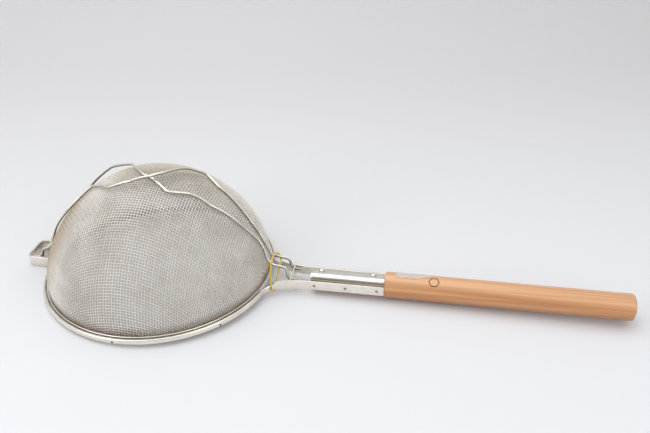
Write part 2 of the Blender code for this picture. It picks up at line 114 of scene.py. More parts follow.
# Rubber band: around the near leg, over both guard wires and back below them.
RUBBER_RADIUS = 0.9
RUBBER_LOOP = [(123.4, -22.5, 7.8), (124.2, -22.2, 0.4), (124.8, -20.0, -1.6),
               (126.0, -17.4, -1.6), (126.8, -15.5, 0.2), (127.6, -14.5, 10.6),
               (129.2, -8.0, 20.2), (127.6, 7.4, 18.4), (126.4, 12.0, 19.6), (124.6, 12.6, 22.6),
               (122.8, 11.0, 25.0), (121.4, 8.0, 25.6), (121.6, -7.6, 28.6), (121.8, -11.8, 27.2)]

# Handle.
WOOD_BOX = reach("wooden_handle")
WOOD_RADIUS = WOOD_BOX[1].y
WOOD_AXIS_Z = (WOOD_BOX[0].z + WOOD_BOX[1].z) / 2
WOOD_START, WOOD_END = LEG_END + 0.3, WOOD_BOX[1].x
COVER_BOX = reach("ferrule_cover")
COVER_HALF, COVER_BOTTOM, COVER_TOP = COVER_BOX[1].y, COVER_BOX[0].z, COVER_BOX[0].z + 1.0
RIDGE_Y, RIDGE_RADIUS, RIDGE_AXIS_Z = -4.5, 5.9, 9.5


# ---------------------------------------------------------------- mesh building
def tangents(points, closed=False):
    """Unit direction of a path at each of its points."""
    points = np.asarray(points, float)
    if closed:
        step = np.roll(points, -1, axis=0) - np.roll(points, 1, axis=0)
    else:
        step = np.gradient(points, axis=0)
    return step / np.linalg.norm(step, axis=1, keepdims=True)


def lengths(points):
    """Distance along a path at each of its points."""
    steps = np.linalg.norm(np.diff(points, axis=0), axis=1)
    return np.concatenate([[0.0], np.cumsum(steps)])


def resample(points, step):
    """The same path with even spacing."""
    points = np.asarray(points, float)
    along = lengths(points)
    count = max(2, int(round(along[-1] / step)) + 1)
    wanted = np.linspace(0.0, along[-1], count)
    return np.stack([np.interp(wanted, along, points[:, k]) for k in range(3)], axis=1)


def soften(points, rounds, closed=False):
    """Round a path's corners by averaging each point with its neighbours."""
    points = np.asarray(points, float).copy()
    for _ in range(rounds):
        if closed:
            points = (np.roll(points, 1, axis=0) + 2 * points + np.roll(points, -1, axis=0)) / 4
        else:
            points[1:-1] = (points[:-2] + 2 * points[1:-1] + points[2:]) / 4
    return points


def circles(path, across, up, radius, angle):
    """A circle around each point of a path, spanned by two directions."""
    cos, sin = np.cos(angle)[None, :, None], np.sin(angle)[None, :, None]
    return path[:, None] + radius * (across[:, None] * cos + up[:, None] * sin)


class Build:
    """Collects rings and faces in millimetres, with a grain coordinate at each point."""

    def __init__(self):
        self.points, self.grain, self.quads, self.others, self.count = [], [], [], [], 0

    def rings(self, rings, grain=None, closed=False):
        """Skin (count, sides, 3) rings into a tube, with flat ends unless it is closed."""
        rings = np.asarray(rings, float)
        count, sides = rings.shape[:2]
        first = self.count
        self.count += count * sides
        self.points.append(rings.reshape(-1, 3))
        self.grain.append(self.points[-1] if grain is None else np.asarray(grain, float).reshape(-1, 3))
        rows = np.arange(count if closed else count - 1)
        columns = np.arange(sides)
        a = first + rows[:, None] * sides + columns[None, :]
        b = first + rows[:, None] * sides + (columns[None, :] + 1) % sides
        above = ((rows + 1) % count)[:, None] * sides
        c = first + above + (columns[None, :] + 1) % sides
        d = first + above + columns[None, :]
        self.quads.append(np.stack([a, b, c, d], axis=-1).reshape(-1, 4))
        if not closed:
            self.others.append([first + k for k in reversed(range(sides))])
            self.others.append([first + (count - 1) * sides + k for k in range(sides)])
        return self

    def tube(self, path, radius, sides, closed=False):
        """Round tube along a path; radius may be one number or one for each point."""
        path = np.asarray(path, float)
        along = tangents(path, closed)
        radius = np.broadcast_to(np.asarray(radius, float), (len(path),))
        side = np.empty_like(path)
        current = np.array(Vector(along[0]).orthogonal().normalized())
        for i, direction in enumerate(along):
            current = current - direction * np.dot(current, direction)
            current = current / np.linalg.norm(current)
            side[i] = current
        if closed:
            side = self.untwist(side, along)
        over = np.cross(along, side)
        angle = 2 * np.pi * np.arange(sides) / sides
        rings = circles(path, side, over, radius[:, None, None], angle)
        grain = np.empty_like(rings)
        grain[..., 0] = lengths(path)[:, None]
        grain[..., 1] = radius[:, None] * np.cos(angle)
        grain[..., 2] = radius[:, None] * np.sin(angle)
        return self.rings(rings, grain, closed)

    @staticmethod
    def untwist(side, along):
        """Spread a closed tube's leftover turn over its whole length."""
        start, end = side[0], side[-1]
        across = np.cross(along[0], start)
        turn = math.atan2(np.dot(end, across), np.dot(end, start))
        angle = -turn * np.arange(len(side)) / (len(side) - 1)
        over = np.cross(along, side)
        return side * np.cos(angle)[:, None] + over * np.sin(angle)[:, None]

    def turned(self, profile, segments, centre, axis):
        """Turn (radius, height) pairs about X or Z; a zero radius closes on the axis."""
        angle = 2 * np.pi * np.arange(segments) / segments
        order = (1, 2, 0) if axis == "X" else (0, 1, 2)
        rings = []
        for radius, height in profile:
            ring = np.zeros((segments, 3))
            ring[:, order[0]] = max(radius, POINT_RADIUS) * np.cos(angle)
            ring[:, order[1]] = max(radius, POINT_RADIUS) * np.sin(angle)
            ring[:, order[2]] = height
            rings.append(ring + np.asarray(centre, float))
        return self.rings(rings)


def store(mesh, label, vectors):
    """Store a vector at each point of a mesh for its material to read."""
    layer = mesh.attributes.new(label, "FLOAT_VECTOR", "POINT")
    layer.data.foreach_set("vector", np.asarray(vectors, np.float32).ravel())


def add_object(name, data):
    """A new object in the scene."""
    obj = bpy.data.objects.new(name, data)
    bpy.context.collection.objects.link(obj)
    return obj


def to_object(build, name, material, replaced=(), body="strainer_frame", angle=40.0):
    """Turn a Build into a piece in the row frame, shaded smooth up to an angle."""
    points = np.concatenate(build.points)
    grain = np.concatenate(build.grain)
    matrix = np.array(LAY)
    placed = points @ matrix[:3, :3].T + matrix[:3, 3]
    quads = np.concatenate(build.quads)
    loops = np.concatenate([quads.reshape(-1), np.array([i for f in build.others for i in f], int)])
    sizes = np.concatenate([np.full(len(quads), 4), np.array([len(f) for f in build.others], int)])
    starts = np.concatenate([[0], np.cumsum(sizes)[:-1]])
    mesh = bpy.data.meshes.new(name)
    mesh.vertices.add(len(placed))
    mesh.vertices.foreach_set("co", placed.astype(np.float32).ravel())
    mesh.loops.add(len(loops))
    mesh.loops.foreach_set("vertex_index", loops.astype(np.int32))
    mesh.polygons.add(len(sizes))
    mesh.polygons.foreach_set("loop_start", starts.astype(np.int32))
    store(mesh, "grain", grain)
    store(mesh, "place", points)
    mesh.update(calc_edges=True)
    mesh.validate()
    mesh.materials.append(material)
    obj = add_object(name, mesh)
    outward(mesh)
    mesh.shade_smooth()
    mesh.set_sharp_from_angle(angle=math.radians(angle))
    finish_piece(obj, body, replaced)
    return obj


def outward(mesh):
    """Flip a closed mesh whose faces point in, by the sign of its volume."""
    mesh.calc_loop_triangles()
    count = len(mesh.loop_triangles)
    corners = np.empty(count * 3, np.int32)
    mesh.loop_triangles.foreach_get("vertices", corners)
    a, b, c = (coordinates(mesh)[corners.reshape(-1, 3)[:, k]] for k in range(3))
    if np.einsum("ij,ij->i", a, np.cross(b, c)).sum() < 0:
        mesh.flip_normals()


def mark_painted_shade(obj, values):
    """Tell the material where to paint shade: high is unshaded, low gets the painted shade."""
    store(obj.data, "side", np.column_stack([values, 0 * values, 0 * values]))


def finish_piece(obj, body, replaced=()):
    """Ride on a body, and stand for CAD nodes."""
    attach(obj, body)
    if replaced:
        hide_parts(*replaced)


def arc(x, y, radius, start, end, steps):
    """Points around (x, y) from one angle in degrees to another, both included."""
    angles = np.radians(np.linspace(start, end, steps + 1))
    return [(x + radius * math.cos(angle), y + radius * math.sin(angle)) for angle in angles]


def rounded_rectangle(width, height, corner):
    """Corner-rounded outline from (0, 0) to (width, height), anticlockwise."""
    centres = ((width - corner, corner, -90), (width - corner, height - corner, 0),
               (corner, height - corner, 90), (corner, corner, 180))
    return np.concatenate([arc(x, y, corner, start, start + 90, 4) for x, y, start in centres])


def strip_rings(path, sections):
    """Rings of an upright strip whose outer face follows a plan path."""
    path = np.asarray(path, float)
    flat = np.concatenate([path[:, :2], np.zeros((len(path), 1))], axis=1)
    along = tangents(flat)
    left = np.stack([-along[:, 1], along[:, 0], 0 * along[:, 0]], axis=1)
    run = lengths(flat)
    rings, grain = [], []
    for point, normal, distance, section in zip(flat, left, run, sections):
        outline = rounded_rectangle(*section)
        ring = point + outline[:, :1] * normal
        ring[:, 2] = outline[:, 1]
        rings.append(ring)
        grain.append(np.column_stack([np.full(len(outline), distance), outline]))
    return np.array(rings), np.array(grain)


def smooth_step(value):
    """Ease from 0 to 1, level at both ends."""
    value = min(1.0, max(0.0, value))
    return value * value * (3 - 2 * value)


def leg_half_width(x):
    """Half the distance between the outer faces of the legs."""
    return LEG_HALF + LEG_SPREAD * math.exp(-(x - LEG_START) / LEG_DECAY)


def strip_section(flatness):
    """Strip section between the round-edged band (0) and the flat leg (1)."""
    ring_section = (BAND_THICK, BAND_HEIGHT, BAND_CORNER)
    leg_section = (STRIP_THICK, STRIP_HEIGHT, STRIP_CORNER)
    return tuple(a + (b - a) * flatness for a, b in zip(ring_section, leg_section))


# ---------------------------------------------------------------- materials
class Nodes:
    """Short ways to add nodes to a tree; each gives the new node's output."""

    def __init__(self, tree):
        self.tree = tree

    def put(self, value, socket):
        """Give a socket a constant, or link another node's output to it."""
        if isinstance(value, bpy.types.NodeSocket):
            self.tree.links.new(value, socket)
        else:
            socket.default_value = value

    def add(self, kind, output, sockets, **settings):
        """Add a node with its settings, then fill its sockets."""
        node = self.tree.nodes.new("ShaderNode" + kind)
        for label, value in settings.items():
            setattr(node, label, value)
        for label, value in sockets.items():
            self.put(value, node.inputs[label])
        return node.outputs[output]

    def attribute(self, label):
        return self.add("Attribute", "Vector", {}, attribute_name=label)

    def scaled(self, vector, scale):
        return self.add("Mapping", "Vector", {"Vector": vector, "Scale": scale})

    def axis(self, vector, letter):
        return self.add("SeparateXYZ", letter, {"Vector": vector})

    def noise(self, vector, scale, detail=3.0, roughness=0.55, distortion=0.0):
        sockets = {"Vector": vector, "Scale": scale, "Detail": detail,
                   "Roughness": roughness, "Distortion": distortion}
        return self.add("TexNoise", "Fac", sockets)

    def math(self, operation, first, second):
        return self.add("Math", 0, {0: first, 1: second}, operation=operation)

    def plus(self, first, second, factor):
        """The first value plus a multiple of the second."""
        return self.math("ADD", first, self.math("MULTIPLY", second, factor))

    def spread(self, value, low, high, from_low=0.3, from_high=0.7):
        """Stretch the range from_low to from_high over low to high."""
        sockets = {"Value": value, "From Min": from_low, "From Max": from_high,
                   "To Min": low, "To Max": high}
        return self.add("MapRange", "Result", sockets)

    def ramp(self, factor, *stops):
        """Colour along a ramp of (position, colour) stops."""
        output = self.add("ValToRGB", "Color", {"Fac": factor})
        elements = output.node.color_ramp.elements
        while len(elements) < len(stops):
            elements.new(0.5)
        for element, (position, color) in zip(elements, stops):
            element.position = position
            element.color = (*color, 1.0)
        return output

    def mottle(self, first, part, second, dark, light):
        """Two patterns added in parts, as a colour between dark and light."""
        both = self.plus(self.math("MULTIPLY", first, part), second, 1 - part)
        return self.ramp(both, (0.36, dark), (0.62, light))

    def mix(self, factor, base, color):
        """Lay a plain colour over the base by a factor."""
        return self.add("Mix", 2, {0: factor, 6: base, 7: (*color, 1.0)}, data_type="RGBA")


class Shader(Nodes):
    """A Principled material under construction."""

    def __init__(self, name, **constants):
        self.material = bpy.data.materials.new(name)
        self.material.use_nodes = True
        super().__init__(self.material.node_tree)
        self.inputs = self.tree.nodes["Principled BSDF"].inputs
        for label, value in constants.items():
            self.inputs[label.replace("_", " ")].default_value = value

    def finish(self, color, roughness=None, height=None, strength=0.0, distance=0.0):
        """Link colour, roughness and bump where given; the finished material."""
        self.put(color, self.inputs["Base Color"])
        if roughness is not None:
            self.put(roughness, self.inputs["Roughness"])
        if height is not None:
            sockets = {"Strength": strength, "Distance": distance * MM, "Height": height}
            self.put(self.add("Bump", "Normal", sockets), self.inputs["Normal"])
        return self.material


def steel(name, dark, light, low, high, streak=(0.03, 1.6, 1.6), wear=None, under=None):
    """Polished steel with fine streaks along the piece and faint cloudy tarnish, and painted shade where
    a piece is marked for it.
    """
    made = Shader(name, Metallic=1.0)
    place = made.attribute("place")
    streaks = made.noise(made.scaled(made.attribute("grain"), streak), 1.0, 4.0, 0.6)
    base = made.mottle(streaks, 0.5, made.noise(place, 0.09, 3.0, 0.6), dark, light)
    if wear is not None:
        spots = made.spread(made.noise(place, 0.55, 4.0, 0.7), 0.0, 1.0, 0.62, 0.72)
        base = made.mix(spots, base, wear)
    # Painted shade: the under colour is laid over the points whose side mark is low.
    if under is not None:
        below = made.spread(made.axis(made.attribute("side"), "X"), 0.95, 0.0, -0.15, 0.40)
        base = made.mix(below, base, under)
    return made.finish(base, made.spread(streaks, low, high), streaks, 0.12, 0.05)


def mesh_steel(name, dark, light, stain, crown_color, low, high, reach_up, metallic):
    """Drawn mesh wire: a little uneven, stained brown at the rim, the crown and the front."""
    made = Shader(name, Metallic=metallic)
    place = made.attribute("place")
    x, y, z = (made.axis(place, letter) for letter in "XYZ")
    fine = made.noise(place, 0.8, 2.0, 0.6)
    clouds = made.noise(place, 0.035, 3.0, 0.6)
    base = made.mottle(fine, 0.45, clouds, dark, light)
    crown = made.spread(made.plus(z, y, 0.4), 0.0, 0.8, 92.0, 122.0)
    base = made.mix(crown, base, crown_color)
    front = made.spread(made.plus(x, z, -0.4), 0.9, 0.0, -113.0, -88.0)
    base = made.mix(front, base, (0.44, 0.33, 0.21))
    height = made.plus(z, clouds, -0.8 * reach_up)
    stained = made.spread(height, 0.95, 0.0, -0.15 * reach_up, 0.6 * reach_up)
    base = made.mix(stained, base, stain)
    return made.finish(base, made.spread(fine, low, high), fine, 0.1, 0.05)


def wood_material():
    """Straight-grained hardwood under thin varnish, with a painted highlight on top and painted shade on
    the underside.
    """
    made = Shader("turned_wood", Coat_Weight=0.8, Coat_Roughness=0.28)
    grain = made.attribute("grain")
    wander = made.noise(made.scaled(grain, (0.006, 0.05, 0.05)), 1.0, 2.0)
    sockets = {0: wander, 1: (0.0, 3.2, 2.4), 2: grain}
    bent = made.add("VectorMath", "Vector", sockets, operation="MULTIPLY_ADD")
    bands = made.noise(made.scaled(bent, (0.0045, 0.34, 0.30)), 1.0, 3.0, 0.55)
    fibres = made.noise(made.scaled(bent, (0.022, 2.4, 2.4)), 1.0, 4.0, 0.65)
    flecks = made.noise(made.scaled(bent, (0.16, 3.6, 3.6)), 1.0, 2.0, 0.5)
    height = made.axis(made.attribute("place"), "Z")
    base = made.ramp(bands, (0.30, (0.465, 0.185, 0.060)), (0.47, (0.575, 0.252, 0.090)),
                     (0.58, (0.655, 0.318, 0.128)), (0.72, (0.740, 0.388, 0.168)))
    base = made.mix(made.spread(fibres, 0.0, 0.55, 0.50, 0.70), base, (0.420, 0.180, 0.072))
    base = made.mix(made.spread(flecks, 0.0, 0.45, 0.64, 0.74), base, (0.270, 0.110, 0.045))
    # Painted highlight: a paler tone over the top of the grip.
    painted_highlight = made.spread(height, 0.0, 0.2, WOOD_AXIS_Z + 3, WOOD_AXIS_Z + 9)
    base = made.mix(painted_highlight, base, (0.82, 0.57, 0.34))
    # Painted shade: a darker, deeper brown over the grip's underside.
    painted_underside_shade = made.spread(height, 0.75, 0.0, WOOD_AXIS_Z - 10, WOOD_AXIS_Z + 4)
    base = made.mix(painted_underside_shade, base, (0.350, 0.122, 0.034))
    return made.finish(base, made.spread(fibres, 0.34, 0.50), made.plus(fibres, flecks, 0.5), 0.18, 0.12)


def end_grain_material():
    """The grip's sawn rear end: faint growth rings and pores."""
    made = Shader("end_grain", Coat_Weight=0.15, Coat_Roughness=0.3)
    place = made.attribute("place")
    heart = made.add("Mapping", "Vector", {"Vector": place, "Location": (0.0, 26.0, 18.0)})
    rings = made.add("TexWave", "Fac", {"Vector": heart, "Scale": 0.13, "Distortion": 2.0},
                     wave_type="RINGS", rings_direction="X")
    pores = made.noise(place, 1.6, 3.0, 0.7)
    base = made.ramp(rings, (0.1, (0.50, 0.235, 0.10)), (0.9, (0.60, 0.31, 0.145)))
    base = made.mix(made.spread(pores, 0.0, 0.6, 0.52, 0.68), base, (0.30, 0.125, 0.05))
    return made.finish(base, made.spread(pores, 0.5, 0.7), pores, 0.2, 0.1)


def rubber_material():
    """Aged yellow rubber, cloudy, with fine marks along the band."""
    made = Shader("yellow_rubber", Subsurface_Weight=0.25, Subsurface_Scale=0.002)
    clouds = made.noise(made.attribute("place"), 0.5)
    marks = made.noise(made.scaled(made.attribute("grain"), (0.3, 2.0, 2.0)), 1.0)
    base = made.ramp(clouds, (0.35, (0.60, 0.40, 0.05)), (0.65, (0.78, 0.57, 0.12)))
    return made.finish(base, made.spread(clouds, 0.3, 0.45), marks, 0.2, 0.1)


def burned_material():
    """Charred wood, dark brown and dull."""
    made = Shader("burned_mark", Specular_IOR_Level=0.1)
    char = made.noise(made.attribute("place"), 2.4, 4.0, 0.7)
    base = made.ramp(char, (0.3, (0.05, 0.012, 0.005)), (0.7, (0.14, 0.035, 0.012)))
    return made.finish(base, made.spread(char, 0.6, 0.85), char, 0.3, 0.1)


def film_material():
    """Clear plastic film with soft creases."""
    made = Shader("clear_film", Roughness=0.12, Alpha=0.34, IOR=1.49)
    along = made.scaled(made.attribute("place"), (0.10, 0.45, 0.45))
    creases = made.noise(along, 1.0, 3.0, 0.6, 0.8)
    base = made.ramp(creases, (0.35, (0.74, 0.77, 0.76)), (0.65, (0.94, 0.95, 0.95)))
    return made.finish(base, None, creases, 0.5, 0.4)


def floor_material():
    """Pale paper with painted light falloff: darker further back and lighter again where it curves up.
    """
    made = Shader("pale_floor", Roughness=0.85)
    coords = made.add("TexCoord", "Object", {})
    away = made.spread(made.axis(coords, "Y"), 0.0, 1.0, -0.1, 0.7)
    high = made.spread(made.axis(coords, "Z"), 0.0, 1.0, 0.15, 0.55)
    cloudy = made.spread(made.noise(coords, 1.4, 2.0), 0.0, 0.02)
    base = made.ramp(away, (0.0, (0.735, 0.742, 0.768)), (0.30, (0.705, 0.710, 0.724)),
                     (0.75, (0.665, 0.660, 0.675)))
    base = made.mix(high, base, (0.93, 0.93, 0.92))
    return made.finish(made.mix(cloudy, base, (0.4, 0.4, 0.4)))


STRIP_STEEL = steel("strip_steel", (0.78, 0.735, 0.665), (0.90, 0.86, 0.79), 0.21, 0.33,
                    wear=(0.66, 0.59, 0.50))
# Cover steel: its under colour is a painted shade for the dark low band of the ridge.
COVER_STEEL = steel("cover_steel", (0.72, 0.70, 0.64), (0.80, 0.785, 0.735), 0.18, 0.27,
                    under=(0.46, 0.42, 0.32))
# Guard steel: its under colour is a painted shade for the wires' sides facing the bowl.
GUARD_STEEL = steel("guard_steel", (0.76, 0.71, 0.62), (0.90, 0.86, 0.78), 0.22, 0.36,
                    streak=(0.05, 2.0, 2.0), wear=(0.50, 0.43, 0.34), under=(0.20, 0.155, 0.11))
# Ring steel: its under colour is a painted shade for the inner face next to the mesh.
RING_STEEL = steel("ring_steel", (0.84, 0.80, 0.74), (0.94, 0.91, 0.86), 0.20, 0.32,
                   under=(0.17, 0.11, 0.065))
PIN_STEEL = steel("pin_steel", (0.05, 0.04, 0.03), (0.12, 0.10, 0.08), 0.35, 0.5)
HEAD_STEEL = steel("head_steel", (0.66, 0.64, 0.60), (0.78, 0.76, 0.72), 0.16, 0.26)
COARSE_STEEL = mesh_steel("coarse_mesh_steel", (0.78, 0.735, 0.665), (1.0, 0.975, 0.93),
                          (0.30, 0.205, 0.125), (0.62, 0.56, 0.44), 0.24, 0.42, 15.0, 0.25)
FINE_STEEL = mesh_steel("fine_mesh_steel", (0.34, 0.30, 0.24), (0.60, 0.545, 0.465),
                        (0.10, 0.055, 0.028), (0.16, 0.13, 0.08), 0.32, 0.50, 28.0, 0.6)
WOOD = wood_material()
END_GRAIN = end_grain_material()
RUBBER = rubber_material()
BURNED = burned_material()
FILM = film_material()


# ---------------------------------------------------------------- camera
CAMERA_TARGET = Vector((-0.0136, 0.1355, 0.0))
CAMERA_AZIMUTH, CAMERA_ELEVATION = 10.2, 32.3
CAMERA_DISTANCE, CAMERA_LENS = 0.851, 39.68


def aim(obj, direction):
    """Turn a camera or a lamp to look along a direction."""
    obj.rotation_mode = "QUATERNION"
    obj.rotation_quaternion = direction.to_track_quat("-Z", "Y")


def make_camera():
    """Camera above the near side, looking down at the strainer."""
    azimuth, elevation = math.radians(CAMERA_AZIMUTH), math.radians(CAMERA_ELEVATION)
    back = Vector((math.sin(azimuth) * math.cos(elevation),
                   -math.cos(azimuth) * math.cos(elevation), math.sin(elevation)))
    data = bpy.data.cameras.new("camera")
    data.sensor_width = 36.0
    data.lens = CAMERA_LENS
    camera = add_object("camera", data)
    camera.location = CAMERA_TARGET + back * CAMERA_DISTANCE
    aim(camera, -back)
    bpy.context.scene.camera = camera


# ---------------------------------------------------------------- rim, ring and lug
def rim_path():
    """Outer face of the whole strip in plan, far leg first, and its sections."""
    legs = np.concatenate([np.arange(LEG_END, 150.0, -4.0), np.arange(150.0, 122.9, -0.9)])
    root = math.degrees(math.asin((leg_half_width(LEG_START) + 2.6) / RIM_RADIUS)) + 2
    far_leg = [(x, leg_half_width(x)) for x in legs]
    bend = [(121.6, leg_half_width(LEG_START) + 0.7), (120.0, leg_half_width(LEG_START) + 2.2)]
    ring = arc(0, 0, RIM_RADIUS, root, 360 - root, 279)
    near = [(x, -y) for x, y in reversed(far_leg + bend)]
    flat = [smooth_step((x - 121.0) / 8.0) for x in legs] + [0.1, 0.0]
    sections = [strip_section(f) for f in flat + [0.0] * len(ring) + flat[::-1]]
    return far_leg + bend + ring + near, sections


def make_rim():
    """The strip: rim and both legs in one piece."""
    build = Build().rings(*strip_rings(*rim_path()))
    to_object(build, "rim_strip", STRIP_STEEL, ["rim_band_and_legs"])


def make_ring():
    """Clamp ring inside the rim, with painted shade on its side to the mesh."""
    outline = rounded_rectangle(RING_THICK, RING_TOP - RING_BOTTOM, RING_CORNER)
    rings, grain = [], []
    for angle in np.radians(np.arange(0, 360, 1.25)):
        radius = RING_OUTER - outline[:, 0]
        rings.append(np.column_stack([radius * math.cos(angle), radius * math.sin(angle),
                                      RING_BOTTOM + outline[:, 1]]))
        grain.append(np.column_stack([np.full(len(outline), angle * RING_OUTER), outline]))
    build = Build().rings(rings, grain, closed=True)
    ring = to_object(build, "clamp_ring", RING_STEEL, ["inner_clamp_ring"])
    # Painted shade on the ring's inner face, next to the mesh.
    mark_painted_shade(ring, 2.2 - 2.0 * np.tile(outline[:, 0], len(rings)) / RING_THICK)


def make_lug():
    """U of flat strip with round bends, standing against the rim."""
    half, front = LUG_BOX[1].y, -LUG_BOX[0].x
    root = math.sqrt(RIM_RADIUS ** 2 - half ** 2) + 0.6
    straight = [(-x, half) for x in np.linspace(root, front - LUG_BEND, 7)[:-1]]
    corner = arc(LUG_BEND - front, half - LUG_BEND, LUG_BEND, 90, 180, 12)
    cross = [(-front, y) for y in np.linspace(half - LUG_BEND, LUG_BEND - half, 6)[1:-1]]
    far = straight + corner
    path = far + cross + [(x, -y) for x, y in reversed(far)]
    section = (STRIP_THICK, LUG_BOX[1].z, STRIP_CORNER)
    build = Build().rings(*strip_rings(path, [section] * len(path)))
    to_object(build, "front_lug_strip", STRIP_STEEL, ["front_lug"])


def plate_mesh(name, node, hook_y, hook_z):
    """Upright plate across X with rounded edges and two round holes."""
    low, high = reach(node)
    bevel = 0.15
    curve = bpy.data.curves.new(name, "CURVE")
    curve.dimensions = "2D"
    curve.fill_mode = "BOTH"
    curve.extrude = (high.x - low.x) / 2 - bevel
    curve.bevel_depth = bevel
    curve.bevel_resolution = 2
    half, height = (high.y - low.y) / 2 - bevel, (high.z - low.z) / 2 - bevel
    middle_z = (high.z + low.z) / 2
    loops = [rounded_rectangle(2 * half, 2 * height, 0.5) - (half, height)]
    for y in (-hook_y, hook_y):
        loops.append(arc(y, hook_z - middle_z, HOOK_HOLE + bevel, 0, 360, 32)[:-1])
    for loop in loops:
        spline = curve.splines.new("POLY")
        spline.points.add(len(loop) - 1)
        for point, (u, v) in zip(spline.points, loop):
            point.co = (u, v, 0.0, 1.0)
        spline.use_cyclic_u = True
    holder = add_object(name, curve)
    bpy.context.view_layer.update()
    mesh = bpy.data.meshes.new_from_object(holder.evaluated_get(bpy.context.evaluated_depsgraph_get()))
    bpy.data.objects.remove(holder)
    bpy.data.curves.remove(curve)
    upright = Matrix(((0, 0, 1, (low.x + high.x) / 2), (1, 0, 0, (low.y + high.y) / 2),
                      (0, 1, 0, middle_z), (0, 0, 0, 1)))
    mesh.transform(upright)
    return mesh


def make_plates():
    """Both bridge plates."""
    hooks = ((NECK_HOOK_Y, NECK_HOOK_Z), (LUG_HOOK_Y, LUG_HOOK_Z))
    for node, hook in zip(PLATE_NODES, hooks):
        name = node.replace("_bridge_plate", "_hook_plate")
        mesh = plate_mesh(name, node, *hook)
        for label in ("grain", "place"):
            store(mesh, label, coordinates(mesh))
        mesh.transform(LAY)
        mesh.materials.clear()
        mesh.materials.append(STRIP_STEEL)
        weld(mesh)
        mesh.shade_smooth()
        mesh.set_sharp_from_angle(angle=math.radians(40))
        finish_piece(add_object(name, mesh), "strainer_frame", [node])


def weld(mesh):
    """Join the doubled points that a curve's fill leaves along its bevel."""
    bm = bmesh.new()
    bm.from_mesh(mesh)
    bmesh.ops.remove_doubles(bm, verts=bm.verts, dist=0.00001)
    bmesh.ops.recalc_face_normals(bm, faces=bm.faces)
    bm.to_mesh(mesh)
    bm.free()


# ---------------------------------------------------------------- woven bowls
def bowl_level(radius, height, points):
    """Implicit value and gradient of a bowl surface at each point."""
    flat = np.hypot(points[..., 0], points[..., 1])
    rise = np.maximum(points[..., 2] - SKIRT_TOP, 0.0) / (height - SKIRT_TOP)
    value = (flat / radius) ** BOWL_POWER + rise ** BOWL_POWER - 1
    slope = BOWL_POWER * np.maximum(flat / radius, 1e-6) ** (BOWL_POWER - 1) / radius
    up = BOWL_POWER * rise ** (BOWL_POWER - 1) / (height - SKIRT_TOP)
    safe = np.maximum(flat, 1e-9)
    gradient = np.stack([slope * points[..., 0] / safe, slope * points[..., 1] / safe, up], axis=-1)
    return value, gradient


def bowl_meridian(radius, height, pitch):
    """Points a wire's pitch apart down the bowl's side, from the crown, as (flat, z)."""
    angle = np.linspace(math.pi / 2, 0.0, 4000)
    power = 2 / BOWL_POWER
    flat = radius * np.maximum(np.cos(angle), 0.0) ** power
    rise = SKIRT_TOP + (height - SKIRT_TOP) * np.sin(angle) ** power
    flat = np.append(flat, radius)
    rise = np.append(rise, SKIRT_TOP - 40.0)
    run = lengths(np.column_stack([flat, rise]))
    wanted = np.arange(0.0, run[-1], pitch)
    return np.interp(wanted, run, flat), np.interp(wanted, run, rise)


def draped_net(radius, height, pitch):
    """A square net drawn over the bowl: crossings a pitch apart along both wires.

    The wires through the crown run straight down the sides. Every other crossing is
    where the surface is one pitch from both of its inner neighbours.
    """
    flat, rise = bowl_meridian(radius, height, pitch)
    count = len(flat)
    net = np.full((count, count, 3), np.nan)
    net[:, 0] = np.column_stack([flat, 0 * flat, rise])
    net[0, :] = np.column_stack([0 * flat, flat, rise])
    for diagonal in range(2, 2 * count - 1):
        i = np.arange(max(1, diagonal - count + 1), min(count - 1, diagonal - 1) + 1)
        j = diagonal - i
        a, b, c = net[i - 1, j], net[i, j - 1], net[i - 1, j - 1]
        usable = np.isfinite(a[:, 0] + b[:, 0]) & (np.maximum(a[:, 2], b[:, 2]) > -2 * pitch)
        if not usable.any():
            continue
        i, j, a, b, c = i[usable], j[usable], a[usable], b[usable], c[usable]
        p = a + b - c
        for _ in range(12):
            value, gradient = bowl_level(radius, height, p)
            rows = np.stack([2 * (p - a), 2 * (p - b), gradient], axis=1)
            miss = np.stack([((p - a) ** 2).sum(1) - pitch ** 2,
                             ((p - b) ** 2).sum(1) - pitch ** 2, value], axis=1)
            rows = rows + 1e-9 * np.eye(3)
            step = np.linalg.solve(rows, miss[..., None])[..., 0]
            size = np.linalg.norm(step, axis=1, keepdims=True)
            p = p - step * np.minimum(1.0, pitch / np.maximum(size, 1e-9))
        fold = np.linalg.norm(p - c, axis=1) < 0.35 * pitch
        p[fold] = np.nan
        net[i, j] = p
    return net


def whole_net(quarter):
    """Mirror one quarter of the net to all four."""
    flipped_x = quarter * (-1, 1, 1)
    half = np.concatenate([flipped_x[:0:-1], quarter], axis=0)
    flipped_y = half * (1, -1, 1)
    return np.concatenate([flipped_y[:, :0:-1], half], axis=1)


def woven_wires(net, radius, height, wire, bottom):
    """Both sets of wires, each passing over and under the other, cut off at the rim."""
    value, gradient = bowl_level(radius, height, np.nan_to_num(net))
    normal = gradient / np.maximum(np.linalg.norm(gradient, axis=-1, keepdims=True), 1e-12)
    rows, columns = np.indices(net.shape[:2])
    over = np.where((rows + columns) % 2 == 0, 1.0, -1.0)[..., None] * wire * 0.5
    along_x = (net + normal * over).transpose(1, 0, 2), normal.transpose(1, 0, 2)
    for lifted, facings in (along_x, (net - normal * over, normal)):
        wires = [trimmed(path, facing, bottom) for path, facing in zip(lifted, facings)]
        yield [wire for wire in wires if wire is not None]


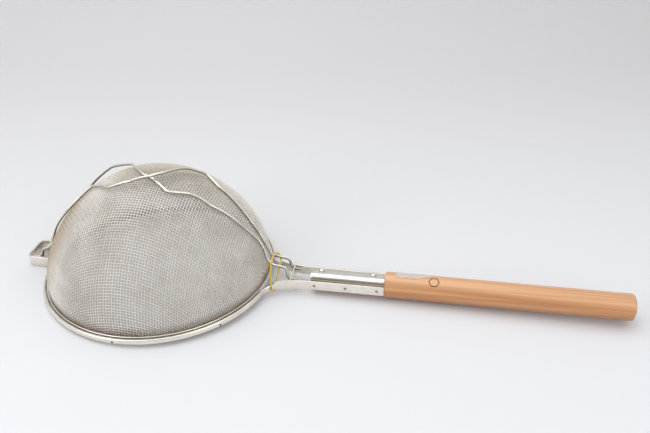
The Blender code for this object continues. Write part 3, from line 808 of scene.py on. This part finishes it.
def trimmed(path, facing, bottom):
    """The longest stretch of a wire above the bottom, ending exactly on it."""
    inside = np.isfinite(path[:, 0]) & (path[:, 2] >= bottom)
    where = np.flatnonzero(inside)
    if len(where) < 3:
        return None
    first, last = where[0], where[-1]
    points, sides = [path[first:last + 1]], [facing[first:last + 1]]
    if not np.isfinite(points[0]).all():
        return None
    for end, place in ((first, 0), (last, len(points))):
        beyond = end - 1 if place == 0 else end + 1
        if not 0 <= beyond < len(path) or not np.isfinite(path[beyond, 0]):
            continue
        share = (path[end, 2] - bottom) / max(path[end, 2] - path[beyond, 2], 1e-6)
        if 0.05 < share <= 1.0:
            cut = path[end] + (path[beyond] - path[end]) * share
            points.insert(0 if place == 0 else len(points), cut[None])
            sides.insert(0 if place == 0 else len(sides), facing[end][None])
    return np.concatenate(points), np.concatenate(sides)


def wire_bundle(wires, wire, sides, layer, name, material):
    """All the given wires of one cloth as one piece."""
    build = Build()
    angle = 2 * np.pi * (np.arange(sides) + 0.5) / sides
    for path, facing in wires:
        along = tangents(path)
        across = np.cross(facing, along)
        across /= np.maximum(np.linalg.norm(across, axis=1, keepdims=True), 1e-9)
        build.rings(circles(path, across, np.cross(along, across), wire / 2, angle))
    to_object(build, name, material, [f"{layer}_mesh_bowl"], angle=180.0)


def make_bowls():
    """Both wire cloths, each as a warp and a weft, the fine ones in two parts."""
    layers = (("coarse", COARSE_PITCH, COARSE_WIRE, COARSE_INSET, 6, COARSE_STEEL, 1),
              ("fine", FINE_PITCH, FINE_WIRE, FINE_INSET, 4, FINE_STEEL, 2))
    for layer, pitch, wire, inset, sides, material, parts in layers:
        radius, height = BOWL_RADIUS - inset, BOWL_HEIGHT - inset
        net = whole_net(draped_net(radius, height, pitch))
        bottom = SKIRT_BOTTOM + wire / 2
        for direction, wires in zip(("warp", "weft"), woven_wires(net, radius, height, wire, bottom)):
            for part in range(parts):
                share = wires[len(wires) * part // parts:len(wires) * (part + 1) // parts]
                name = f"{layer}_{direction}_wires" + (f"_{part + 1}" if parts > 1 else "")
                wire_bundle(share, wire, sides, layer, name, material)


# ---------------------------------------------------------------- guard wires
def above_bowl(theta, y, clearance):
    """Point over the bowl, seen from (0, y, skirt top) at the angle theta above +X."""
    grow = clearance + WIRE_RADIUS
    low, high = 0.0, 200.0
    cosine, sine = math.cos(math.radians(theta)), math.sin(math.radians(theta))
    for _ in range(40):
        distance = (low + high) / 2
        flat = math.hypot(distance * cosine, y) / (BOWL_RADIUS + grow)
        rise = distance * sine / (BOWL_HEIGHT - SKIRT_TOP + grow)
        if flat ** BOWL_POWER + rise ** BOWL_POWER < 1:
            low = distance
        else:
            high = distance
    return (distance * cosine, y, SKIRT_TOP + distance * sine)


def wire_over_bowl(stations):
    """Follow the bowl between stations of (theta, y, clearance)."""
    points = []
    for here, there in zip(stations, stations[1:]):
        step = np.subtract(there, here)
        span = math.hypot(math.radians(step[0]) * BOWL_RADIUS, step[1])
        count = max(1, round(span / 1.5))
        points += [above_bowl(*(here + step * k / count)) for k in range(count)]
    points.append(above_bowl(*stations[-1]))
    return points


def hook_points(plate_x, y, hook_z, top_z):
    """Wire end from the bowl outwards: over the rim, down, and out through the plate."""
    side = math.copysign(1, plate_x)
    far = abs(plate_x)
    edge = BOWL_RADIUS + WIRE_CLEAR + WIRE_RADIUS
    span = far - edge
    shape = ((edge + 0.22 * span, top_z + 0.8), (edge + 0.45 * span, top_z + 0.1),
             (far - 5.6, top_z - 1.2), (far - 4.4, top_z - 4.2), (far - 3.6, hook_z + 3.6),
             (far - 2.7, hook_z + 1.1), (far - 1.5, hook_z), (far + 5.5, hook_z))
    return [(side * x, y, z) for x, z in shape]


LOW, END = WIRE_LOW, WIRE_CLEAR
LOWER_STATIONS = [(9, -5.5, END + 2), (13.5, 0.2, END + 0.6), (18.5, 2.4, LOW), (25.3, -1.9, LOW),
                  (32.1, -5.1, LOW), (43.6, -8.6, LOW), (51.4, -12.5, LOW), (58.2, -11.6, LOW),
                  (63.5, -13.3, LOW), (70.3, -19.7, LOW), (73.7, -22.3, LOW), (76, -20.2, LOW),
                  (86, -9.3, LOW), (90, -7, LOW), (99.3, 10.8, LOW), (101, 16, LOW + 1.7),
                  (118, 26, LOW + 4.7), (137, 25, LOW + 0.7), (152, 18, LOW), (171, 11.5, END)]
UPPER_STATIONS = [(6, 10.4, END + 1), (14.1, 10.8, LOW + 0.3), (19.5, 12.6, LOW), (27.6, 13, LOW),
                  (35.3, 16.3, LOW), (46, 21.8, LOW), (51.7, 23.4, LOW), (56.5, 28.6, LOW + 0.4),
                  (61.7, 34.2, LOW + 1.2), (70.2, 23.8, LOW + 3.2), (73.3, 16.3, LOW + 4.2),
                  (79.1, -3.9, LOW + 5.2), (85.1, -15.2, LOW + 5.2), (93.8, -22.2, LOW + 3.7),
                  (106.5, -23.2, LOW + 0.7), (109.6, -19, LOW), (124.2, -3, LOW), (131, -13, LOW),
                  (140, -19, LOW), (152, -19, LOW), (162, -14.5, LOW), (171, -10.5, END)]


def guard_path(stations, neck_y, neck_top, lug_y, lug_top):
    """Whole guard wire from its end at the neck to its end at the lug."""
    plates = [sum((box.x for box in reach(node)), 0.0) / 2 for node in PLATE_NODES]
    neck = hook_points(plates[0], neck_y, NECK_HOOK_Z, neck_top)
    lug = hook_points(plates[1], lug_y, LUG_HOOK_Z, lug_top)
    path = resample(neck[::-1] + wire_over_bowl(stations) + lug, 1.2)
    return soften(path, 2)


def rounded_ends(path, radius, steps=4):
    """Path points and radii that close a rod's ends with small domes."""
    path = np.asarray(path, float)
    along = tangents(path)
    sine = np.sin(np.radians(90 * (np.arange(steps) + 0.35) / steps))
    shift = (radius * 0.6 * (1 - sine))[:, None]
    dome = radius * (0.35 + 0.65 * sine)
    run = lengths(path)
    middle = path[(run > radius * 0.7) & (run < run[-1] - radius * 0.7)]
    end = path[-1] - along[-1] * shift
    points = np.concatenate([path[0] + along[0] * shift, middle, end[::-1]])
    return points, np.concatenate([dome, np.full(len(middle), radius), dome[::-1]])


def facing_away(path, skin_points):
    """How far each skin point faces away from the bowl (1) or to it (-1)."""
    centres = np.repeat(path, len(skin_points) // len(path), axis=0)
    away = centres * (1.0, 1.0, 1.1)
    away /= np.linalg.norm(away, axis=1, keepdims=True)
    return ((skin_points - centres) * away).sum(axis=1) / WIRE_RADIUS


def make_guards():
    """Both guard wires, with painted shade on the side to the bowl."""
    wires = (("lower", LOWER_STATIONS, -NECK_HOOK_Y, 23.0, LUG_HOOK_Y, 22.0),
             ("upper", UPPER_STATIONS, NECK_HOOK_Y, 21.2, -LUG_HOOK_Y, 20.0))
    for word, stations, neck_y, neck_top, lug_y, lug_top in wires:
        path = guard_path(stations, neck_y, neck_top, lug_y, lug_top)
        points, radii = rounded_ends(path, WIRE_RADIUS)
        build = Build().tube(points, radii, 14)
        obj = to_object(build, f"guard_rod_{word}", GUARD_STEEL,
                        [f"guard_wire_{word}"], f"guard_{word}", angle=60.0)
        # Painted shade on the side of each wire that faces the bowl.
        mark_painted_shade(obj, facing_away(points, build.points[0]))


# ---------------------------------------------------------------- fasteners
RIVET_RADIUS, RIVET_LENGTH = 1.1, 5.0
NAIL_RADIUS, NAIL_LENGTH = 1.45, 7.9


def make_pin(node, radius, length, centre, direction):
    """A pin whose dimpled end is at a point, pointing along a direction."""
    build = Build().turned(pin_profile(radius, length), 20, (0, 0, 0), "Z")
    spin = np.array(Vector(direction).to_track_quat("Z", "Y").to_matrix())
    build.points = [p @ spin.T + np.asarray(centre, float) for p in build.points]
    to_object(build, node + "_pin", PIN_STEEL, [node], angle=30.0)


def pin_profile(radius, length):
    """Pin end with a rounded edge and a shallow centre dimple; the end is at zero."""
    return [(0.0, -0.18), (0.3 * radius, -0.14), (0.5 * radius, -0.02), (0.8 * radius, 0.0),
            (0.95 * radius, -0.06), (radius, -0.2), (radius, -length), (0.0, -length)]


def make_pins():
    """Rivets and nails, each where the CAD has it."""
    for node in sorted(frame["nodes"]):
        low, high = reach(node)
        centre = (low + high) / 2
        if node.startswith("rim_rivet_"):
            outward_ray = Vector((centre.x, centre.y, 0.0)).normalized()
            tip = outward_ray * (RIM_RADIUS + 0.2) + Vector((0, 0, centre.z))
            make_pin(node, RIVET_RADIUS, RIVET_LENGTH, tip, outward_ray)
        if node.startswith("leg_nail_"):
            side = 1.0 if centre.y > 0 else -1.0
            tip = Vector((centre.x, high.y if side > 0 else low.y, centre.z))
            make_pin(node, NAIL_RADIUS, NAIL_LENGTH, tip, (0, side, 0))
        if node.startswith("cover_rivet_"):
            make_domed_head(node, low, high, centre)


def make_domed_head(node, low, high, centre):
    """Cover rivet: a dome on a straight shank."""
    radius = (high.x - low.x) / 2
    base = COVER_TOP + 0.3
    edge = base + 0.25
    profile = [(radius * x, edge + (high.z - edge) * y) for x, y in arc(0, 0, 1, 90, 0, 8)]
    profile += [(radius - 0.1, base + 0.02), (1.3, base), (1.3, low.z), (0.0, low.z)]
    build = Build().turned(profile, 28, (centre.x, centre.y, 0.0), "Z")
    to_object(build, node + "_head", HEAD_STEEL, [node])


# ---------------------------------------------------------------- handle
def cover_outline():
    """Pressed sheet in section: flat shelf with a half-round ridge along one side."""
    thick, fillet = COVER_TOP - COVER_BOTTOM, 0.5
    outer, inner = (arc(RIDGE_Y, RIDGE_AXIS_Z, radius, 6, 174, 28)
                    for radius in (RIDGE_RADIUS, RIDGE_RADIUS - thick))
    foot_far, foot_near = inner[0][0], inner[-1][0]
    edge_far = [(COVER_HALF, COVER_BOTTOM + 0.2), (COVER_HALF - 0.1, COVER_TOP - 0.1),
                (COVER_HALF - 0.3, COVER_TOP)]
    valley = [(outer[0][0] + fillet, COVER_TOP), (outer[0][0] + 0.1, COVER_TOP + 0.12)]
    lower = [(-COVER_HALF, COVER_BOTTOM), (foot_near, COVER_BOTTOM)] + inner[::-1]
    lower += [(foot_far, COVER_BOTTOM)] + edge_far + valley
    return np.array(lower + outer[1:])


def make_cover():
    """Pressed cover, with painted shade low on the near side of its ridge."""
    outline = cover_outline()
    start, end, round_off = COVER_BOX[0].x, COVER_BOX[1].x, 0.25
    centre = outline.mean(axis=0)
    rings = []
    stations = [(start, 0.985), (start + round_off, 1.0)]
    stations += [(x, 1.0) for x in np.linspace(start + 4, end - 4, 16)]
    stations += [(end - round_off, 1.0), (end, 0.985)]
    for x, scale in stations:
        section = centre + (outline - centre) * scale
        rings.append(np.column_stack([np.full(len(section), x), section]))
    build = Build().rings(rings)
    cover = to_object(build, "pressed_cover", COVER_STEEL, ["ferrule_cover"], angle=38.0)
    near_side = (RIDGE_Y - outline[:, 0]) / RIDGE_RADIUS
    # Painted shade low on the ridge's near side.
    mark_painted_shade(cover, np.tile(2.3 - 2.6 * near_side, len(stations)))


def make_wood():
    """Turned grip, its sawn rear end, and the square tongue between the legs."""
    centre = (0.0, 0.0, WOOD_AXIS_Z)
    front, rear = 0.8, 3.0
    profile = [(0.0, WOOD_START), (WOOD_RADIUS * 0.6, WOOD_START)]
    profile += arc(WOOD_RADIUS - front, WOOD_START + front, front, -90, 0, 4)
    profile += [(WOOD_RADIUS, x) for x in np.linspace(WOOD_START + 4, WOOD_END - 6, 30)]
    profile += arc(WOOD_RADIUS - rear, WOOD_END - 0.35 - rear, rear, 0, 78, 6)
    profile.append((WOOD_RADIUS - rear - 0.6, WOOD_END - 0.3))
    profile.append((0.0, WOOD_END - 0.3))
    build = Build().turned(profile, 72, centre, "X")
    to_object(build, "wooden_grip", WOOD, ["wooden_handle"], angle=60.0)

    edge = WOOD_RADIUS - rear - 0.1
    profile = [(0.0, WOOD_END - 0.28), (edge, WOOD_END - 0.28), (edge, WOOD_END - 0.1),
               (edge - 0.2, WOOD_END), (edge * 0.5, WOOD_END), (0.0, WOOD_END)]
    build = Build().turned(profile, 72, centre, "X")
    to_object(build, "grip_end_face", END_GRAIN)

    half, bottom, top = COVER_HALF, 0.3, COVER_BOTTOM - 0.3
    outline = rounded_rectangle(2 * half, top - bottom, 0.6) + (-half, bottom)
    rings = [np.column_stack([np.full(len(outline), x), outline])
             for x in np.linspace(COVER_BOX[0].x + 0.3, WOOD_START + 6.0, 12)]
    to_object(Build().rings(rings), "handle_tongue", WOOD, ["wooden_handle"])


def on_wood(x, degrees, lift):
    """Point on the grip's round surface; degrees from the top, positive to the near side."""
    angle = math.radians(degrees)
    radius = WOOD_RADIUS + lift
    return (x, -radius * math.sin(angle), WOOD_AXIS_Z + radius * math.cos(angle))


def make_burned_mark():
    """Plain hexagon outline burned into the grip."""
    middle_x, middle_degrees, size, width = WOOD_START + 48.0, 22.0, 5.6, 0.9
    degrees_per_mm = math.degrees(1 / WOOD_RADIUS)
    section = ((size, 0.05), (size, -0.15), (size - width, -0.15), (size - width, 0.05))
    corners = np.array(arc(0, 0, 1, 0, 360, 6))
    rings = []
    for here, there in zip(corners, corners[1:]):
        for f in (0.0, 0.34, 0.67):
            u, v = here + (there - here) * f
            rings.append([on_wood(middle_x + u * out, middle_degrees + v * out * degrees_per_mm, lift)
                          for out, lift in section])
    to_object(Build().rings(rings, closed=True), "burned_hexagon", BURNED, angle=30.0)


def make_film():
    """Blank strip of clear film, stuck over the grip's top behind the cover."""
    start, end = WOOD_START + 10.0, WOOD_START + 44.0
    rings = []
    for f in np.linspace(0.0, 1.0, 26):
        x = start + (end - start) * f
        near = 16.0 - 14.0 * smooth_step((f - 0.55) / 0.45)
        far = -62.0 + 12.0 * f
        upper, lower = [], []
        for g in np.linspace(0.0, 1.0, 22):
            degrees = far + (near - far) * g
            curl = 1.1 * max(0.0, 1 - f / 0.08) ** 2 + 0.5 * max(0.0, (g - 0.86) / 0.14) ** 2
            wave = 0.12 * math.sin(9 * f + 5 * g) + 0.08 * math.sin(23 * f - 11 * g)
            upper.append(on_wood(x, degrees, 0.36 + curl + max(wave, -0.1)))
            lower.append(on_wood(x, degrees, 0.28 + curl + max(wave, -0.1)))
        rings.append(upper + lower[::-1])
    to_object(Build().rings(rings), "blank_film", FILM, angle=30.0)


def make_rubber_band():
    """One rubber loop with its corners rounded."""
    path = soften(resample(RUBBER_LOOP + RUBBER_LOOP[:1], 1.4)[:-1], 2, closed=True)
    build = Build().tube(path, RUBBER_RADIUS, 12, closed=True)
    to_object(build, "rubber_loop", RUBBER, ["rubber_band"], angle=60.0)


# ---------------------------------------------------------------- floor and light
def make_floor():
    """Pale paper: flat under the strainer, then curved up behind it."""
    depth, rise, bend, half = 0.62, 1.6, 0.45, 2.4
    profile = [(-2.2, 0.0), (-1.0, 0.0)] + arc(depth, bend, bend, -90, 0, 16)
    profile.append((depth + bend, rise))
    vertices = [(x, y, z) for y, z in profile for x in (-half, half)]
    faces = [(2 * k, 2 * k + 1, 2 * k + 3, 2 * k + 2) for k in range(len(profile) - 1)]
    mesh = bpy.data.meshes.new("floor")
    mesh.from_pydata(vertices, [], faces)
    mesh.shade_smooth()
    mesh.materials.append(floor_material())
    floor = add_object("floor", mesh)
    floor.rotation_euler.z = math.radians(CAMERA_AZIMUTH)


def make_world():
    """Soft room: bright above and behind, darker low down on the camera's side."""
    world = bpy.data.worlds.new("room")
    bpy.context.scene.world = world
    world.use_nodes = True
    room = Nodes(world.node_tree)
    sockets = {0: room.add("TexCoord", "Generated", {}), 1: (-0.12, 0.33, 0.5)}
    lean = room.add("VectorMath", "Value", sockets, operation="DOT_PRODUCT")
    sky = room.ramp(room.math("ADD", lean, 0.5),
                    (0.25, (0.26, 0.255, 0.24)), (0.50, (0.38, 0.375, 0.36)),
                    (0.66, (0.68, 0.685, 0.69)), (0.85, (1.05, 1.06, 1.08)))
    room.put(sky, room.tree.nodes["Background"].inputs["Color"])


# Name, place, target, size, power and colour.
LAMPS = (("overhead", (-0.35, 0.05, 1.25), (-0.05, 0.0, 0.0), (1.5, 1.1), 5.8, (1.0, 0.995, 0.985)),
         ("front_left", (-1.2, -1.15, 0.8), (-0.15, 0.0, 0.05), (0.9, 0.9), 6.5, (0.98, 0.99, 1.0)),
         ("front_right", (1.2, -1.1, 0.8), (-0.1, 0.0, 0.05), (0.9, 0.9), 6.0, (1.0, 0.985, 0.96)))


def make_lights():
    """The room and three soft lamps."""
    make_world()
    for name, place, target, size, power, color in LAMPS:
        data = bpy.data.lights.new(name, "AREA")
        data.shape = "RECTANGLE"
        data.size, data.size_y = size
        data.energy = power
        data.color = color
        lamp = add_object(name, data)
        lamp.location = place
        aim(lamp, Vector(target) - lamp.location)
    bpy.context.scene.view_settings.view_transform = "Standard"


def main():
    """Everything, in a fixed order."""
    for make in (make_camera, make_rim, make_ring, make_lug, make_plates, make_bowls, make_guards,
                 make_pins, make_cover, make_wood, make_burned_mark, make_film, make_rubber_band,
                 make_floor, make_lights):
        make()


main()
